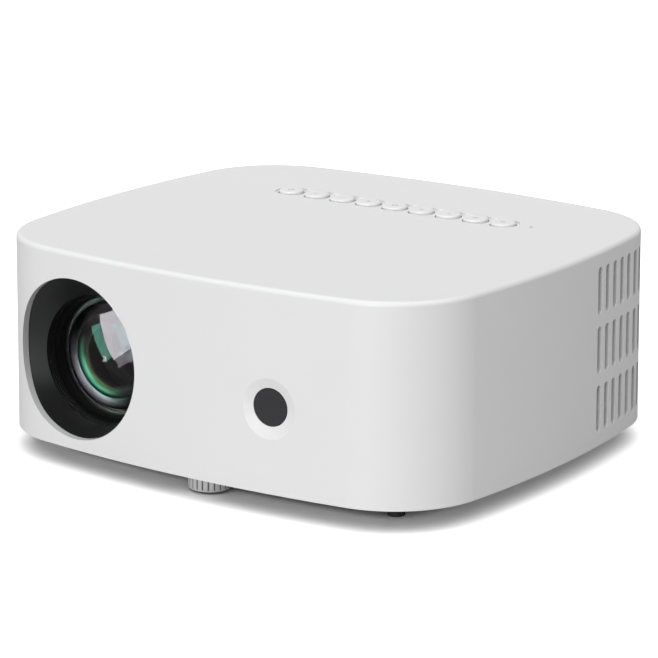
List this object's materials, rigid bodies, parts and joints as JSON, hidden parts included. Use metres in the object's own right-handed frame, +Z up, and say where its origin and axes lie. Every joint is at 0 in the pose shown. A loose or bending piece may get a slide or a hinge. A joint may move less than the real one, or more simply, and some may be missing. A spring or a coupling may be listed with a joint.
{
  "type": "projector with built-in disc player",
  "caption": "Rounded white home projector with a recessed lens, a top key row, side vents, a rear disc drawer, rear ports and a height wheel.",
  "frame": {"origin": "middle of the footprint, on the floor under the feet", "axes": "the lens looks along -Y, +X is to the right when the front is faced, +Z is up"},
  "size_m": [0.2316, 0.2052, 0.0931],
  "materials": {
    "housing_white": "fine satin moulded white",
    "panel_grey": "matt dark grey",
    "screen_grey": "fine grey mesh",
    "screw_steel": "bright steel",
    "foot_rubber": "matt black",
    "insert_brass": "turned brass",
    "wheel_plastic": "ribbed light grey",
    "lens_black": "matt black with fine grooves",
    "ring_black": "black anodised",
    "coated_glass": "clear with purple and green coating",
    "clear_glass": "clear",
    "motor_steel": "plain steel can",
    "inner_black": "matt black",
    "mirror_silver": "front silvered",
    "panel_glass": "dark panel glass",
    "led_board": "white solder mask on aluminium",
    "sink_aluminium": "extruded, bare",
    "drive_steel": "galvanised sheet",
    "tray_plastic": "matt black",
    "rail_plastic": "natural white",
    "key_plastic": "smooth white",
    "hub_plastic": "black with a rubber ring",
    "pickup_black": "black resin",
    "board_green": "green solder mask",
    "socket_steel": "plated shell",
    "socket_black": "black",
    "pipe_clear": "clear light guide",
    "window_smoke": "smoked infrared window",
    "speaker_black": "paper cone in a steel frame"
  },
  "bodies": {
    "housing": {"upper_housing": "housing_white", "base_cover": "housing_white", "rear_port_panel": "panel_grey", "vent_screens": "screen_grey", "housing_screws": "screw_steel", "rubber_feet": "foot_rubber", "tripod_insert": "insert_brass", "lens_hood": "lens_black", "lens_mount": "lens_black", "focus_motor": "motor_steel", "engine_case": "inner_black", "engine_lid": "inner_black", "fold_mirror": "mirror_silver", "fresnel_lenses": "clear_glass", "lcd_panel": "panel_glass", "heat_glass": "clear_glass", "condenser_lens": "clear_glass", "led_module": "led_board", "heat_sink": "sink_aluminium", "fan_frame": "inner_black", "drive_pan": "drive_steel", "drive_cover": "drive_steel", "main_board": "board_green", "hdmi_sockets": "socket_steel", "usb_socket": "socket_steel", "audio_jacks": "socket_black", "power_inlet": "socket_black", "power_board": "board_green", "key_board": "board_green", "light_pipe": "pipe_clear", "sensor_window": "window_smoke", "speaker": "speaker_black"},
    "lens": {"lens_barrel": "lens_black", "retaining_rings": "ring_black", "front_lens": "coated_glass", "middle_lens": "clear_glass", "rear_lens": "clear_glass"},
    "tray": {"disc_tray": "tray_plastic", "tray_bezel": "housing_white", "spindle_motor": "motor_steel", "pickup_rods": "screw_steel", "feed_motor": "motor_steel"},
    "focus_screw": {"focus_screw": "screw_steel"},
    "fan_rotor": {"fan_rotor": "inner_black"},
    "rails": {"tray_rails": "rail_plastic"},
    "eject_button": {"eject_button": "key_plastic"},
    "disc_hub": {"disc_hub": "hub_plastic"},
    "pickup": {"pickup": "pickup_black"},
    "feed_screw": {"feed_screw": "screw_steel"},
    "foot": {"foot_pad": "foot_rubber"},
    "wheel": {"height_wheel": "wheel_plastic"},
    "key_1": {"key_1": "key_plastic"},
    "key_2": {"key_2": "key_plastic"},
    "key_3": {"key_3": "key_plastic"},
    "key_4": {"key_4": "key_plastic"},
    "key_5": {"key_5": "key_plastic"},
    "key_6": {"key_6": "key_plastic"},
    "key_7": {"key_7": "key_plastic"},
    "key_8": {"key_8": "key_plastic"},
    "key_9": {"key_9": "key_plastic"}
  },
  "joints": [
    {"name": "tray_slide", "type": "slide", "parent": "housing", "child": "tray", "axis": [0, 1, 0], "range_m": [0, 0.118]},
    {"name": "rails_slide", "type": "slide", "parent": "housing", "child": "rails", "axis": [0, 1, 0], "range_m": [0, 0.0591]},
    {"name": "eject_press", "type": "slide", "parent": "tray", "child": "eject_button", "axis": [0, -1, 0], "range_m": [0, 0.0008], "stiffness_N_per_m": 900, "springref_m": -0.0003},
    {"name": "hub_spin", "type": "hinge", "parent": "tray", "child": "disc_hub", "pos_m": [0, 0.033, 0.0738], "axis": [0, 0, 1], "continuous": true},
    {"name": "pickup_slide", "type": "slide", "parent": "tray", "child": "pickup", "axis": [-0.7071, 0.7071, 0], "range_m": [0, 0.03]},
    {"name": "feed_screw_turn", "type": "hinge", "parent": "tray", "child": "feed_screw", "pos_m": [-0.03359, 0.04184, 0.0716], "axis": [-0.7071, 0.7071, 0], "range_deg": [-3605, 0]},
    {"name": "focus_slide", "type": "slide", "parent": "housing", "child": "lens", "axis": [0, 1, 0], "range_m": [0, 0.006]},
    {"name": "focus_screw_turn", "type": "hinge", "parent": "housing", "child": "focus_screw", "pos_m": [-0.0194, -0.055, 0.0437], "axis": [0, 1, 0], "range_deg": [-2165, 0]},
    {"name": "fan_spin", "type": "hinge", "parent": "housing", "child": "fan_rotor", "pos_m": [0.092, 0.042, 0.0427], "axis": [1, 0, 0], "continuous": true},
    {"name": "foot_slide", "type": "slide", "parent": "housing", "child": "foot", "axis": [0, 0, -1], "range_m": [0, 0.01]},
    {"name": "wheel_turn", "type": "hinge", "parent": "foot", "child": "wheel", "pos_m": [0.0011, -0.0851, 0.005], "axis": [0, 0, -1], "range_deg": [0, 2403]},
    {"name": "key_1_press", "type": "slide", "parent": "housing", "child": "key_1", "axis": [0, 0, -1], "range_m": [0, 0.0006], "stiffness_N_per_m": 1200, "springref_m": -0.0003},
    {"name": "key_2_press", "type": "slide", "parent": "housing", "child": "key_2", "axis": [0, 0, -1], "range_m": [0, 0.0006], "stiffness_N_per_m": 1200, "springref_m": -0.0003},
    {"name": "key_3_press", "type": "slide", "parent": "housing", "child": "key_3", "axis": [0, 0, -1], "range_m": [0, 0.0006], "stiffness_N_per_m": 1200, "springref_m": -0.0003},
    {"name": "key_4_press", "type": "slide", "parent": "housing", "child": "key_4", "axis": [0, 0, -1], "range_m": [0, 0.0006], "stiffness_N_per_m": 1200, "springref_m": -0.0003},
    {"name": "key_5_press", "type": "slide", "parent": "housing", "child": "key_5", "axis": [0, 0, -1], "range_m": [0, 0.0006], "stiffness_N_per_m": 1200, "springref_m": -0.0003},
    {"name": "key_6_press", "type": "slide", "parent": "housing", "child": "key_6", "axis": [0, 0, -1], "range_m": [0, 0.0006], "stiffness_N_per_m": 1200, "springref_m": -0.0003},
    {"name": "key_7_press", "type": "slide", "parent": "housing", "child": "key_7", "axis": [0, 0, -1], "range_m": [0, 0.0006], "stiffness_N_per_m": 1200, "springref_m": -0.0003},
    {"name": "key_8_press", "type": "slide", "parent": "housing", "child": "key_8", "axis": [0, 0, -1], "range_m": [0, 0.0006], "stiffness_N_per_m": 1200, "springref_m": -0.0003},
    {"name": "key_9_press", "type": "slide", "parent": "housing", "child": "key_9", "axis": [0, 0, -1], "range_m": [0, 0.0006], "stiffness_N_per_m": 1200, "springref_m": -0.0003}
  ],
  "couplings": [
    {"joint": "rails_slide", "follows": "tray_slide", "ratio": 0.5},
    {"joint": "feed_screw_turn", "follows": "pickup_slide", "rad_per_m": -2094.4},
    {"joint": "focus_screw_turn", "follows": "focus_slide", "rad_per_m": -6283.2},
    {"joint": "wheel_turn", "follows": "foot_slide", "rad_per_m": 4188.8}
  ]
}
